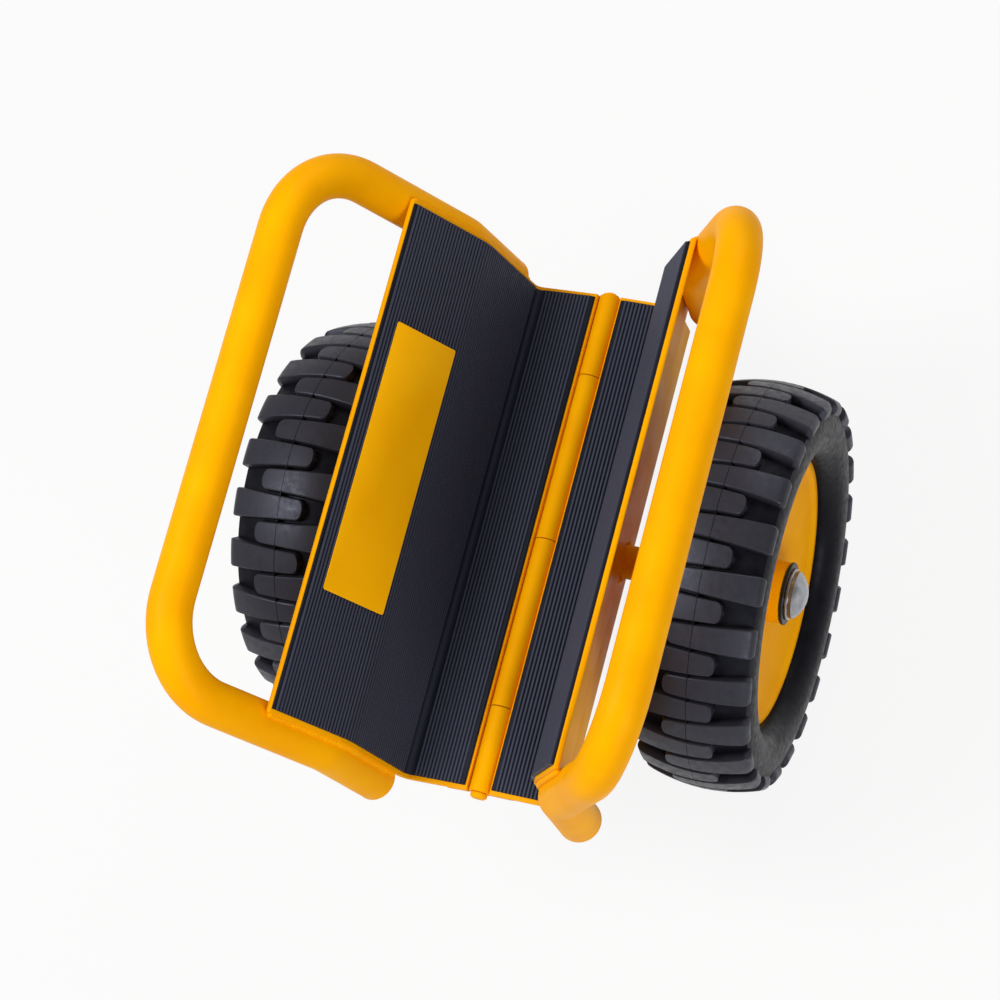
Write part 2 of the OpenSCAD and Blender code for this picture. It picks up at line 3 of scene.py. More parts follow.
import bmesh
import bpy
from mathutils import Matrix, Vector
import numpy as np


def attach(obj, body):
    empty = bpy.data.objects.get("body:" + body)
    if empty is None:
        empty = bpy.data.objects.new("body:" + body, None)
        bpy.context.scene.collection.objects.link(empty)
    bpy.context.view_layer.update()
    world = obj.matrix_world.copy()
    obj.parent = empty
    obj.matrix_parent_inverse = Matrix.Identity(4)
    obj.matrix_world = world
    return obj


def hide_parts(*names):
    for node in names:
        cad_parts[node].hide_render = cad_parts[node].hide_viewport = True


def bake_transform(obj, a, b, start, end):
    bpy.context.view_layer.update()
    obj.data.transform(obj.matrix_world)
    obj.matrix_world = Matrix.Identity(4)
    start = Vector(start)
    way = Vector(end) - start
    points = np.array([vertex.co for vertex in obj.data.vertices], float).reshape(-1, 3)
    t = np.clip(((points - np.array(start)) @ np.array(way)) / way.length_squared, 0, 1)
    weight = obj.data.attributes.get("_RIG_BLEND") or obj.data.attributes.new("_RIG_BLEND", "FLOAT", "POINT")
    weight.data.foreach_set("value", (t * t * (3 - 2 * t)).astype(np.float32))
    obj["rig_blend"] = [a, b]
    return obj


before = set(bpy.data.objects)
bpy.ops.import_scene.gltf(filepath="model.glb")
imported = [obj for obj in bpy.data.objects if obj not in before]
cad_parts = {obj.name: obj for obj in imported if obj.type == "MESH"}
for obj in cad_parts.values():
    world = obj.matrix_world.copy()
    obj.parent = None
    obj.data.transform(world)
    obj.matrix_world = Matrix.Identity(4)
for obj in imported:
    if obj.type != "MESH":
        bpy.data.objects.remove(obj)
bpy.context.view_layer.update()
print("frame loaded")

# Sizes are real millimetres in the frame of the right jaw: X out from the hinge, Y along the travel,
# Z up from the hinge axis. The left jaw is the same jaw turned half round, or mirrored where its two
# ends differ.
millimetre = 0.001
jaw = {
    "length": 386, "sheet": 4, "floor": 58.5, "side": 89, "flare": 75, "floorSlope": -4, "sideLean": 7.5,
    "flareLean": 28.5, "foldRadius": 5, "bendRadius": 45, "hingeHeight": 177.8525, "edgeGap": 8.5,
    "leafSheet": 3,
}
axleLine = {"tilt": 5, "drop": 15, "wheelOut": 150, "innerFace": 113.7, "outerFace": 180.3}


def heading(angle):
    return Vector((math.cos(math.radians(angle)), math.sin(math.radians(angle))))


floorNormal, sideNormal, flareNormal = (
    heading(90 + jaw["floorSlope"]), heading(180 - jaw["sideLean"]), heading(180 - jaw["flareLean"]))
floorWay, sideWay, flareWay = (
    heading(jaw["floorSlope"]), heading(90 - jaw["sideLean"]), heading(90 - jaw["flareLean"]))
foldPoint = floorWay * jaw["floor"] + floorNormal * (jaw["leafSheet"] / 2 + jaw["sheet"])
bendPoint = foldPoint + sideWay * jaw["side"]
bendAngle = jaw["flareLean"] - jaw["sideLean"]
bendTangent = jaw["bendRadius"] * math.tan(math.radians(bendAngle / 2))
bendCentre = bendPoint - sideWay * bendTangent - sideNormal * jaw["bendRadius"]
bendRun = jaw["bendRadius"] * math.radians(bendAngle)
foldHalf = (90 - jaw["sideLean"] - jaw["floorSlope"]) / 2
foldCut = jaw["foldRadius"] * math.tan(math.radians(foldHalf))


def floorAt(along, depth):
    return floorWay * along + floorNormal * (jaw["leafSheet"] / 2 + jaw["sheet"] + depth)


def sideAt(along, depth):
    return foldPoint + sideWay * along + sideNormal * depth


def flareAt(along, depth):
    return bendPoint + flareWay * along + flareNormal * depth


sideFlat = jaw["side"] - bendTangent
padEnd = jaw["side"] + jaw["flare"] - 2 * bendTangent + bendRun


# A place on the side and flare, by the run along the plate's inner face from the fold
def padAt(run, depth):
    if run < sideFlat:
        return sideAt(run, depth)
    if run < sideFlat + bendRun:
        turn = 180 - jaw["sideLean"] - bendAngle * (run - sideFlat) / bendRun
        return bendCentre + heading(turn) * (jaw["bendRadius"] + depth)
    return flareAt(run - sideFlat - bendRun + bendTangent, depth)


# Points along the bend between side and flare; the last one stays just on the bend
def bendLine(depth, steps):
    return [padAt(sideFlat + bendRun * k / steps * 0.9999, depth) for k in range(steps + 1)]


# Rounds the corners of a flat outline; a radius of 0 keeps the corner
def rounded(points, radii, steps=5):
    result = []
    for i, corner in enumerate(points):
        before, after, radius = points[i - 1], points[(i + 1) % len(points)], radii[i]
        if radius == 0:
            result.append(corner)
            continue
        inWay, outWay = (before - corner).normalized(), (after - corner).normalized()
        half = inWay.angle(outWay) / 2
        cut = radius / math.tan(half)
        centre = corner + (inWay + outWay).normalized() * (radius / math.sin(half))
        first, last = corner + inWay * cut - centre, corner + outWay * cut - centre
        for k in range(steps + 1):
            spot = first.lerp(last, k / steps)
            result.append(centre + spot.normalized() * radius)
    return result


# Joins rings of points into a skin that closes on itself, or has a cap at each end
def ringsToMesh(bm, rings, closed=False):
    rows = [[bm.verts.new(p) for p in ring] for ring in rings]
    pairs = list(zip(rows, rows[1:])) + ([(rows[-1], rows[0])] if closed else [])
    for lower, upper in pairs:
        for k in range(len(lower)):
            n = (k + 1) % len(lower)
            bm.faces.new((lower[k], lower[n], upper[n], upper[k]))
    if not closed:
        bm.faces.new(rows[0][::-1])
        bm.faces.new(rows[-1])
    return rows


# Extrudes an outline of X and Z along Y and softens the edges of its two ends
def extrude(bm, outline, low, high, edge=0):
    rows = ringsToMesh(bm, [[Vector((p.x, y, p.y)) for p in outline] for y in (low, high)])
    if edge:
        rims = {frozenset((row[k - 1], row[k])) for row in rows for k in range(len(row))}
        ends = [e for v in rows[0] + rows[1] for e in v.link_edges if frozenset(e.verts) in rims]
        bmesh.ops.bevel(bm, geom=list(dict.fromkeys(ends)), offset=edge, offset_type="OFFSET", segments=2,
                        profile=0.5, affect="EDGES", material=-1, clamp_overlap=True)
    return rows


# Turns a closed outline of radius and height round Z; at the axis it stops at a hair's breadth
axisGap = 0.01


def revolve(bm, outline, place, steps):
    rings = []
    for k in range(steps):
        a = 2 * math.pi * k / steps
        rings.append([place @ Vector((p.x * math.cos(a), p.x * math.sin(a), p.y)) for p in outline])
    ringsToMesh(bm, rings, closed=True)


# Sweeps a round section along a line of points; the radius may change from point to point
def sweep(bm, line, radii, sides):
    up = Vector((0.31, 0.17, 0.93))
    rings = []
    for i, point in enumerate(line):
        way = (line[min(i + 1, len(line) - 1)] - line[max(i - 1, 0)]).normalized()
        up = (up - way * up.dot(way)).normalized()
        side = way.cross(up)
        turns = [2 * math.pi * k / sides for k in range(sides)]
        rings.append([point + (up * math.cos(a) + side * math.sin(a)) * radii[i] for a in turns])
    ringsToMesh(bm, rings)


# A weld bead: a round line, half sunk, with the ripples of its passes
def weldBead(bm, line, radius):
    points, radii = [], []
    for start, end in zip(line, line[1:]):
        steps = max(2, round((end - start).length / 0.9))
        for k in range(steps):
            points.append(start.lerp(end, k / steps))
    points.append(line[-1])
    for k in range(len(points)):
        ends = min(1, (k + 0.6) / 3, (len(points) - k - 0.4) / 3)
        radii.append(radius * ends * (1 + 0.12 * math.sin(k * 2.1) + 0.05 * math.sin(k * 0.37)))
    sweep(bm, points, radii, sides=10)


rightPlace = Matrix.Scale(millimetre, 4) @ Matrix.Translation((0, 0, jaw["hingeHeight"]))
places = {"right": rightPlace, "left": Matrix.Rotation(math.pi, 4, "Z") @ rightPlace}
mirroredPlaces = {"right": rightPlace, "left": Matrix.Diagonal((-1, 1, 1, 1)) @ rightPlace}
onAxle = (Matrix.Rotation(math.radians(axleLine["tilt"]), 4, "Y")
          @ Matrix.Translation((0, 0, -axleLine["drop"])) @ Matrix.Rotation(math.pi / 2, 4, "Y"))
inWheel = onAxle @ Matrix.Translation((0, 0, axleLine["wheelOut"]))
sharpAngle = math.radians(34)


# Makes an object of a mesh in millimetres, gives it its finish and lets it ride on its body
def piece(name, bm, place, body, nodes, slotName):
    bm.transform(place)
    bmesh.ops.recalc_face_normals(bm, faces=bm.faces)
    for face in bm.faces:
        face.smooth = True
    for edge in bm.edges:
        edge.smooth = len(edge.link_faces) < 2 or edge.calc_face_angle(0) < sharpAngle
    mesh = bpy.data.meshes.new(name)
    bm.to_mesh(mesh)
    bm.free()
    obj = bpy.data.objects.new(name, mesh)
    bpy.context.scene.collection.objects.link(obj)
    mesh.materials.append(finishes[slotName])
    if body:
        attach(obj, body)
    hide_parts(*nodes)
    return obj


# Turns a colour's hex code into the linear values that the shaders use
def linear(code):
    parts = [int(code[i:i + 2], 16) / 255 for i in (1, 3, 5)]
    return [c / 12.92 if c <= 0.04045 else ((c + 0.055) / 1.055) ** 2.4 for c in parts] + [1]


def addNode(tree, kind, inputs=None, **settings):
    node = tree.nodes.new(kind)
    for key, value in settings.items():
        setattr(node, key, value)
    for key, value in (inputs or {}).items():
        if isinstance(value, bpy.types.NodeSocket):
            tree.links.new(value, node.inputs[key])
        else:
            node.inputs[key].default_value = value
    return node


# A noise whose grains are about the given number of millimetres wide
def noise(tree, grain, detail=3, stretch=(1, 1, 1)):
    spot = addNode(tree, "ShaderNodeTexCoord").outputs["Object"]
    spread = addNode(tree, "ShaderNodeMapping", {"Vector": spot, "Scale": [1000 * s for s in stretch]})
    return addNode(tree, "ShaderNodeTexNoise", {"Vector": spread.outputs[0], "Scale": 1 / grain,
                                                "Detail": detail}).outputs[0]


def between(tree, share, low, high):
    return addNode(tree, "ShaderNodeMapRange", {"Value": share, "From Min": 0.3, "From Max": 0.7,
                                                "To Min": low, "To Max": high}).outputs[0]


def mixColours(tree, share, first, second):
    mix = addNode(tree, "ShaderNodeMix", data_type="RGBA")
    tree.links.new(share, mix.inputs[0])
    for socket, value in ((6, first), (7, second)):
        if isinstance(value, bpy.types.NodeSocket):
            tree.links.new(value, mix.inputs[socket])
        else:
            mix.inputs[socket].default_value = linear(value)
    return mix.outputs[2]


def bump(tree, height, depth):
    return addNode(tree, "ShaderNodeBump", {"Height": height, "Distance": depth * millimetre,
                                            "Strength": 1}).outputs[0]


def material(name):
    made = bpy.data.materials.new(name)
    made.use_nodes = True
    return made, made.node_tree, made.node_tree.nodes["Principled BSDF"]


# Powder coat: an even amber yellow with a fine orange peel and hardly any change of tone
def paintFinish(name, tone, deep, rough):
    made, tree, shader = material(name)
    tint = mixColours(tree, between(tree, noise(tree, 45), 0, 1), tone, deep)
    tree.links.new(tint, shader.inputs["Base Color"])
    tree.links.new(between(tree, noise(tree, 18), rough - 0.05, rough + 0.07), shader.inputs["Roughness"])
    tree.links.new(bump(tree, noise(tree, 1.6, 2), 0.05), shader.inputs["Normal"])
    shader.inputs["Specular IOR Level"].default_value = 0.03
    return made


# Rubber: nearly black with a blue sheen, a fine grain and a little grey dust; the crests of ribs and lugs
# get a paler colour as a painted highlight, and shine more
def rubberFinish(name, tone, crestHighlight, dust, dustShare, rough, shine, grain, stretch=(1, 1, 1)):
    made, tree, shader = material(name)
    shader.inputs["Specular Tint"].default_value = linear("#D3DAF2")
    worn = between(tree, noise(tree, 9, 5, stretch), 0, dustShare)
    # The crest mask lays the paler painted highlight colour on the crests and raises their shine
    rise = addNode(tree, "ShaderNodeAttribute", attribute_name="crestHighlight").outputs["Fac"]
    tree.links.new(between(tree, rise, *shine), shader.inputs["Specular IOR Level"])
    groundWithHighlight = mixColours(tree, rise, tone, crestHighlight)
    tree.links.new(mixColours(tree, worn, groundWithHighlight, dust), shader.inputs["Base Color"])
    sheen = between(tree, noise(tree, 5, 4, stretch), rough - 0.08, rough + 0.12)
    tree.links.new(sheen, shader.inputs["Roughness"])
    tree.links.new(bump(tree, noise(tree, grain, 3), 0.06), shader.inputs["Normal"])
    return made


# Bare or plated metal: a fine grain and a slightly uneven sheen
def metalFinish(name, tone, deep, rough, metallic=1.0):
    made, tree, shader = material(name)
    shader.inputs["Metallic"].default_value = metallic
    tint = mixColours(tree, between(tree, noise(tree, 6), 0, 1), tone, deep)
    tree.links.new(tint, shader.inputs["Base Color"])
    tree.links.new(between(tree, noise(tree, 2.5), rough - 0.06, rough + 0.1), shader.inputs["Roughness"])
    tree.links.new(bump(tree, noise(tree, 0.6, 2), 0.02), shader.inputs["Normal"])
    return made


# Nylon: milky and matt, with a faint mould grain
def nylonFinish(name, tone, deep):
    made, tree, shader = material(name)
    tint = mixColours(tree, between(tree, noise(tree, 7), 0, 1), tone, deep)
    tree.links.new(tint, shader.inputs["Base Color"])
    tree.links.new(bump(tree, noise(tree, 0.8, 2), 0.03), shader.inputs["Normal"])
    shader.inputs["Roughness"].default_value = 0.5
    return made


finishes = {
    "yellow_paint": paintFinish("yellowPaint", "#FDB000", "#F7A500", 0.42),
    "label_yellow": paintFinish("labelYellow", "#FFB80A", "#FBB004", 0.42),
    # The third colour of each rubber is the painted highlight on the crests of ribs and lugs
    "pad_rubber": rubberFinish("padRubber", "#0A0B11", "#3B3E4C", "#33364A", 0.25, 0.48, (0.2, 0.4), 0.7,
                               (1, 0.12, 1)),
    "tyre_rubber": rubberFinish("tyreRubber", "#0C0C10", "#28272D", "#2B2B33", 0.2, 0.42, (0.12, 0.42), 1.1),
    "zinc_steel": metalFinish("zincSteel", "#A9AAAE", "#8A8C90", 0.27),
    "black_steel": metalFinish("blackSteel", "#2A2A2C", "#1C1C1E", 0.42, 0.6),
    "spring_steel": metalFinish("springSteel", "#6A6D72", "#4B4E53", 0.34),
    "nylon": nylonFinish("nylon", "#DDDACF", "#CFCBBE"),
}
print("materials made")

# Jaw plate: one folded sheet with broken edges
plate = {"edge": 0.7, "corner": 1.2, "foldSteps": 10, "bendSteps": 14}


def foldArc(depth):
    centre = floorAt(jaw["floor"] - foldCut, jaw["foldRadius"])
    steps = plate["foldSteps"]
    turns = [90 + jaw["floorSlope"] + 2 * foldHalf * k / steps for k in range(steps + 1)]
    return [centre - heading(turn) * (jaw["foldRadius"] - depth) for turn in turns]


def plateLine(depth):
    start = [floorAt(jaw["edgeGap"], depth)] + foldArc(depth)
    return start + bendLine(depth, plate["bendSteps"]) + [flareAt(jaw["flare"], depth)]


def jawPlate():
    bm = bmesh.new()
    inner, outer = plateLine(0), plateLine(-jaw["sheet"])
    outline = inner + outer[::-1]
    corners = (0, len(inner) - 1, len(inner), len(outline) - 1)
    radii = [plate["corner"] if i in corners else 0 for i in range(len(outline))]
    extrude(bm, rounded(outline, radii, 3), -jaw["length"] / 2, jaw["length"] / 2, plate["edge"])
    return bm


# Rubber pads: a base with round-topped ribs along the travel
pad = {"thick": 3, "pitch": 2.9, "rib": 1.1, "margin": 1.5, "end": 3, "seat": 0.05, "chamfer": 0.6,
       "gap": 0.3, "foldHighlight": 0.4}
ribShape = [(0.06, 0.0), (0.14, 0.35), (0.24, 0.78), (0.36, 0.97), (0.5, 1.0), (0.64, 0.97), (0.76, 0.78),
            (0.86, 0.35), (0.94, 0.0)]


def ribbed(place, first, last, fold=()):
    length = last - first
    count = math.floor((length - pad["pitch"]) / pad["pitch"])
    start = first + (length - count * pad["pitch"]) / 2
    low = pad["thick"] - pad["rib"]
    cut = pad["chamfer"]
    line = [place(first, pad["seat"]), place(first, low - cut), place(first + cut, low)]
    rises = [0] * len(line)
    for i in range(count):
        for along, rise in ribShape:
            line.append(place(start + (i + along) * pad["pitch"], low + rise * pad["rib"]))
            rises.append(rise)
    line += list(fold) or [place(last - cut, low), place(last, low - cut), place(last, pad["seat"])]
    back = [place(start + i * pad["pitch"], pad["seat"]) for i in range(count, -1, -1)]
    bm = bmesh.new()
    # Each point keeps its rib height share as the strength of the painted highlight
    crestHighlight = bm.verts.layers.float.new("crestHighlight")
    half = jaw["length"] / 2 - pad["end"]
    # The fill in the fold gets a weaker painted highlight
    rises += [pad["foldHighlight"]] * len(fold)
    for row in extrude(bm, line + back, -half, half):
        for vert, rise in zip(row, rises):
            vert[crestHighlight] = rise
    return bm


# The floor pad also fills the fold, up to the side pad's edge
def floorPad():
    low = pad["thick"] - pad["rib"]
    fold = foldArc(low) + foldArc(pad["seat"])[::-1]
    return ribbed(floorAt, jaw["edgeGap"] + pad["margin"], jaw["floor"] - foldCut - pad["gap"], fold)


def sidePad():
    return ribbed(padAt, foldCut + pad["gap"], padEnd - pad["margin"])


# Label plate: bare, thin, with small round corners, lying on the ribs
label = {"length": 202, "width": 57, "drop": 14, "shift": 3, "thick": 0.8, "corner": 1.5}


def labelPlate():
    bm = bmesh.new()
    halfLength, halfWidth = label["length"] / 2, label["width"] / 2
    corners = [Vector((x * halfLength, y * halfWidth)) for x, y in ((-1, -1), (1, -1), (1, 1), (-1, 1))]
    flat = rounded(corners, [label["corner"]] * 4, 4)
    rings = []
    for depth, shrink in ((0, 1), (label["thick"] - 0.2, 1), (label["thick"], 0.997)):
        ring = []
        for p in flat:
            spot = flareAt(jaw["flare"] - label["drop"] - halfWidth + p.y * shrink, pad["thick"] + depth)
            ring.append(Vector((spot.x, p.x * shrink - label["shift"], spot.y)))
        rings.append(ring)
    ringsToMesh(bm, rings)
    return bm


# Hinge: a leaf under the floor, rolled into knuckles that take turns along the pin
hinge = {"knuckle": 16, "leafWidth": 26, "gap": 0.8, "pin": 8, "head": 12.5, "headThick": 4, "clip": 1.5}
knuckleShares = ((0, 1 / 6), (1 / 2, 5 / 6))


def hingeLeaf():
    bm = bmesh.new()
    top, bottom = -jaw["sheet"], -jaw["sheet"] - jaw["leafSheet"]
    strip = [floorAt(jaw["edgeGap"], top), floorAt(hinge["leafWidth"], top),
             floorAt(hinge["leafWidth"], bottom), floorAt(jaw["edgeGap"], bottom)]
    extrude(bm, rounded(strip, [0, 0.8, 0.8, 0], 3), -jaw["length"] / 2, jaw["length"] / 2, 0.5)
    radius = hinge["knuckle"] / 2
    mouth = math.degrees(math.asin(jaw["leafSheet"] / 2 / radius))
    for start, end in knuckleShares:
        roll = [heading(jaw["floorSlope"] + mouth + (360 - 2 * mouth) * k / 40) * radius for k in range(41)]
        for k, share in ((27, 0.99), (28, 0.93), (29, 0.99)):  # the seam of the roll
            roll[k] = roll[k] * share
        roll += [floorAt(jaw["edgeGap"] + 1, bottom), floorAt(jaw["edgeGap"] + 1, top)]
        low = (start - 0.5) * jaw["length"] + hinge["gap"] / 2
        high = (end - 0.5) * jaw["length"] - hinge["gap"] / 2
        extrude(bm, roll, low, high, 0.45)
    return bm


def hingePin():
    bm = bmesh.new()
    half, r, head = jaw["length"] / 2, hinge["pin"] / 2, hinge["head"] / 2
    tail = half + 2 * hinge["clip"]
    outline = [Vector(p) for p in ((axisGap, -tail), (r, -tail), (r, half), (head, half),
                                   (head, half + hinge["headThick"]), (axisGap, half + hinge["headThick"]))]
    revolve(bm, rounded(outline, [0, 1, 0, 0.5, 2.2, 0]), Matrix.Rotation(math.pi / 2, 4, "X"), 48)
    return bm


def pinClip():
    bm = bmesh.new()
    half, r, head = jaw["length"] / 2, hinge["pin"] / 2 + 0.05, hinge["head"] / 2
    outline = [Vector(p) for p in ((r, -half), (head, -half), (head, -half - hinge["clip"]),
                                   (r, -half - hinge["clip"]))]
    revolve(bm, rounded(outline, [0.3] * 4, 3), Matrix.Rotation(math.pi / 2, 4, "X"), 40)
    return bm


# Handle: one bent tube welded along the ends of the plate
tube = {"radius": 16, "gap": 0.7628, "legOut": 3, "shift": 2, "nearDrop": -5, "farDrop": -9, "reach": 90,
        "corner": 60, "wall": 2.5, "dome": 7, "plug": 8, "weld": 2.6}
tubeDepth = -(jaw["sheet"] + tube["radius"] + tube["gap"])
legY = jaw["length"] / 2 + tube["legOut"]


def legLine(side, drop):
    spots = [sideAt(-drop, tubeDepth)] + bendLine(tubeDepth, 12)
    line = [Vector((p.x, side * legY - tube["shift"], p.y)) for p in spots]
    for k in range(21):
        a = math.pi / 2 * k / 20
        spot = flareAt(jaw["flare"] + tube["reach"] - tube["corner"] * (1 - math.sin(a)), tubeDepth)
        y = side * (legY - tube["corner"] * (1 - math.cos(a))) - tube["shift"]
        line.append(Vector((spot.x, y, spot.y)))
    return line


def handle():
    bm = bmesh.new()
    line = legLine(-1, tube["nearDrop"]) + legLine(1, tube["farDrop"])[::-1]
    sweep(bm, line, [tube["radius"]] * len(line), sides=48)
    for side in (-1, 1):
        bead = []
        for k in range(30):
            p = padAt(8 + (padEnd - 10) * k / 29, -jaw["sheet"] - 0.4)
            bead.append(Vector((p.x, side * (jaw["length"] / 2 + 0.4), p.y)))
        weldBead(bm, bead, tube["weld"])
    return bm


def handlePlugs():
    bm = bmesh.new()
    r, rise = tube["radius"], tube["dome"]
    ball = (r * r + rise * rise) / (2 * rise)
    reach = math.asin((r - 0.9) / ball)
    bore = r - tube["wall"] - 0.1
    dome = [Vector((bore, tube["plug"])), Vector((bore, 0.5)), Vector((r, 0.3)), Vector((r + 0.15, -0.3)),
            Vector((r - 0.1, -0.8))]
    for k in range(15):
        a = reach * (1 - k / 14)
        dome.append(Vector((max(axisGap, ball * math.sin(a)), ball * (1 - math.cos(a)) - rise - 0.2)))
    dome.append(Vector((axisGap, tube["plug"])))
    for side, drop in ((-1, tube["nearDrop"]), (1, tube["farDrop"])):
        start = sideAt(-drop, tubeDepth)
        place = (Matrix.Translation((start.x, side * legY - tube["shift"], start.y))
                 @ Matrix.Rotation(math.radians(jaw["sideLean"]), 4, "Y"))
        revolve(bm, dome, place, 48)
    return bm


# Axle rail: an inverted channel under the floor, with a weld round the axle
rail = {"out": 55, "width": 26.5, "sheet": 4, "lip": 14, "near": 16, "far": 2, "ring": 14.2, "ringBead": 2.4,
        "beadsAt": (-150, -60, 60, 150), "beadHalf": 17, "bead": 2.2}
railInner = rail["out"] - rail["width"]
axleSizes = {"shaft": 25, "journal": 20, "tail": 3, "tip": 6.5, "fit": 0.05}
journalBore = axleSizes["journal"] / 2 + axleSizes["fit"]
washerSizes = {"radius": 23, "thick": 2.5}


def axleRail():
    bm = bmesh.new()
    rise = math.radians(jaw["floorSlope"] + axleLine["tilt"])
    along, up = heading(-axleLine["tilt"]), heading(90 - axleLine["tilt"])
    low = -axleLine["drop"] - axleSizes["shaft"] / 2 - rail["lip"]
    webs = (railInner, railInner + rail["sheet"], rail["out"] - rail["sheet"], rail["out"])

    def under(x):
        return x * math.tan(rise) + jaw["leafSheet"] / 2 / math.cos(rise)

    flange = rail["sheet"] / math.cos(rise)
    corners = ((webs[0], low), (webs[1], low), (webs[1], under(webs[1]) - flange),
               (webs[2], under(webs[2]) - flange), (webs[2], low), (webs[3], low),
               (webs[3], under(webs[3])), (webs[0], under(webs[0])))
    outline = rounded([along * x + up * z for x, z in corners], [0.8, 0.8, 1.5, 1.5, 0.8, 0.8, 4.5, 4.5], 5)
    extrude(bm, outline, rail["near"] - jaw["length"] / 2, jaw["length"] / 2 - rail["far"], 0.6)
    ring = [onAxle @ Vector((rail["ring"] * math.cos(a), rail["ring"] * math.sin(a), rail["out"] + 0.6))
            for a in [2 * math.pi * k / 48 for k in range(49)]]
    weldBead(bm, ring, rail["ringBead"])
    p = along * (rail["out"] - 0.5) + up * (under(rail["out"]) - 0.8)
    for y in rail["beadsAt"]:
        ends = (y - rail["beadHalf"], y + rail["beadHalf"])
        weldBead(bm, [Vector((p.x, end, p.y)) for end in ends], rail["bead"])
    return bm


def axle():
    bm = bmesh.new()
    tail = railInner - axleSizes["tail"]
    shoulder = axleLine["innerFace"] - washerSizes["thick"]
    r, j = axleSizes["shaft"] / 2, axleSizes["journal"] / 2
    end = axleLine["outerFace"] + axleSizes["tip"]
    outline = [Vector(p) for p in ((axisGap, tail), (r, tail), (r, shoulder), (j, shoulder), (j, end),
                                   (axisGap, end))]
    revolve(bm, rounded(outline, [0, 1.5, 1, 0.5, 1, 0]), onAxle, 64)
    return bm


def washer(face):
    bm = bmesh.new()
    r, back = washerSizes["radius"], face + washerSizes["thick"]
    outline = [Vector(p) for p in ((journalBore, face), (r, face), (r, back), (journalBore, back))]
    revolve(bm, rounded(outline, [0.3, 0.7, 0.7, 0.3], 4), onAxle, 72)
    return bm


# Axle cap: a pressed dome with a rolled rim
cap = {"radius": 19, "height": 13, "rim": 2.9, "inside": 4.6}


def axleCap():
    bm = bmesh.new()
    base = axleLine["outerFace"] + washerSizes["thick"]
    r, dome = cap["radius"], cap["height"] - cap["rim"]
    ball = (r ** 2 + dome ** 2) / (2 * dome)
    reach = math.asin((r - 1.6) / ball)
    outline = [Vector(p) for p in ((journalBore, base), (r - 0.5, base), (r, base + 0.5), (r, base + 1.7),
                                   (r - 0.5, base + 2.3), (r - 1.5, base + 2.5))]
    for k in range(19):
        a = reach * (1 - k / 18)
        height = base + cap["height"] - ball * (1 - math.cos(a))
        outline.append(Vector((max(axisGap, ball * math.sin(a)), height)))
    outline += [Vector((axisGap, base + cap["inside"])), Vector((journalBore, base + cap["inside"]))]
    revolve(bm, outline, onAxle, 72)
    return bm


# Stops and spring anchors under the hinge
stop = {"y": 150, "length": 22, "height": 12, "drop": 20, "gap": 0.15, "springY": 95, "anchor": 17,
        "half": 19}
webX = (heading(-axleLine["tilt"]) * railInner + heading(90 - axleLine["tilt"]) * -stop["drop"]).x


def stopBlocks():
    bm = bmesh.new()
    low, high = -stop["drop"] - stop["height"] / 2, -stop["drop"] + stop["height"] / 2
    lean = math.tan(math.radians(axleLine["tilt"]))
    outline = [Vector((stop["gap"], low)), Vector((webX + (low + stop["drop"]) * lean, low)),
               Vector((webX + (high + stop["drop"]) * lean, high)), Vector((stop["gap"], high))]
    for side in (-1, 1):
        extrude(bm, rounded(outline, [1.2, 0, 0, 1.2], 3), side * stop["y"] - stop["length"] / 2,
                side * stop["y"] + stop["length"] / 2, 0.8)
    return bm


def springAnchors():
    bm = bmesh.new()
    r, end = stop["anchor"] / 2, webX + 0.4
    outline = [Vector(p) for p in ((axisGap, stop["half"]), (r, stop["half"]), (r, end), (axisGap, end))]
    for side in (-1, 1):
        place = (Matrix.Translation((0, side * stop["springY"], -stop["drop"]))
                 @ Matrix.Rotation(math.pi / 2, 4, "Y"))
        revolve(bm, rounded(outline, [0, 1.2, 0, 0], 4), place, 48)
    return bm


# Opening spring: a wound wire whose straight ends sit in the anchors
spring = {"coil": 6, "wire": 1, "turns": 8, "lead": 3}


def openingSpring(y):
    bm = bmesh.new()
    half, wound = stop["half"], stop["half"] - spring["lead"]
    line = [Vector((-half, spring["coil"], 0))]
    count = spring["turns"] * 20
    for k in range(count + 1):
        a = 2 * math.pi * k / 20
        line.append(Vector((-wound + 2 * wound * k / count, spring["coil"] * math.cos(a),
                            spring["coil"] * math.sin(a))))
    line.append(Vector((half, spring["coil"], 0)))
    line = [p + Vector((0, y, -stop["drop"])) for p in line]
    sweep(bm, line, [spring["wire"]] * len(line), sides=10)
    return bm


# Tyre: a smooth carcass with finger lugs that reach in turn from both shoulders and run down the walls
tyre = {"radius": 150, "half": 43, "crownDrop": 8, "lug": 7, "lugs": 24, "rootShare": 0.56, "lugTip": -18.1,
        "lugTaper": -12, "rim": 99, "rimHalf": 26}
wallLine = ((99.05, 27.2), (99.6, 29.5), (101, 32.5), (103.5, 35.7), (107, 38.7), (111, 40.9), (115, 42),
            (120, 42.5), (125, 42.3), (129, 41.7), (132.6, 40.6))


def treadRadius(z):
    return tyre["radius"] - tyre["crownDrop"] * (z / tyre["half"]) ** 2


def carcass(bm):
    floorHalf = tyre["half"] - tyre["lug"] / 2
    tread = [Vector((treadRadius(z * tyre["half"] / floorHalf) - tyre["lug"], z))
             for z in [-floorHalf + 2 * floorHalf * k / 20 for k in range(21)]]
    wall = [Vector(p) for p in wallLine]
    outline = [Vector((p.x, -p.y)) for p in wall] + tread + wall[::-1]
    revolve(bm, outline, inWheel, 132)
    for half, low, high in ((0.55, 4, 1.6), (0.28, 1.2, -0.1)):  # the mould's seam round the middle
        ring = [Vector((treadRadius(0) - low - 4, -half)), Vector((treadRadius(0) - high, -half * 0.8)),
                Vector((treadRadius(0) - high, half * 0.8)), Vector((treadRadius(0) - low - 4, half))]
        revolve(bm, ring, inWheel, 132)


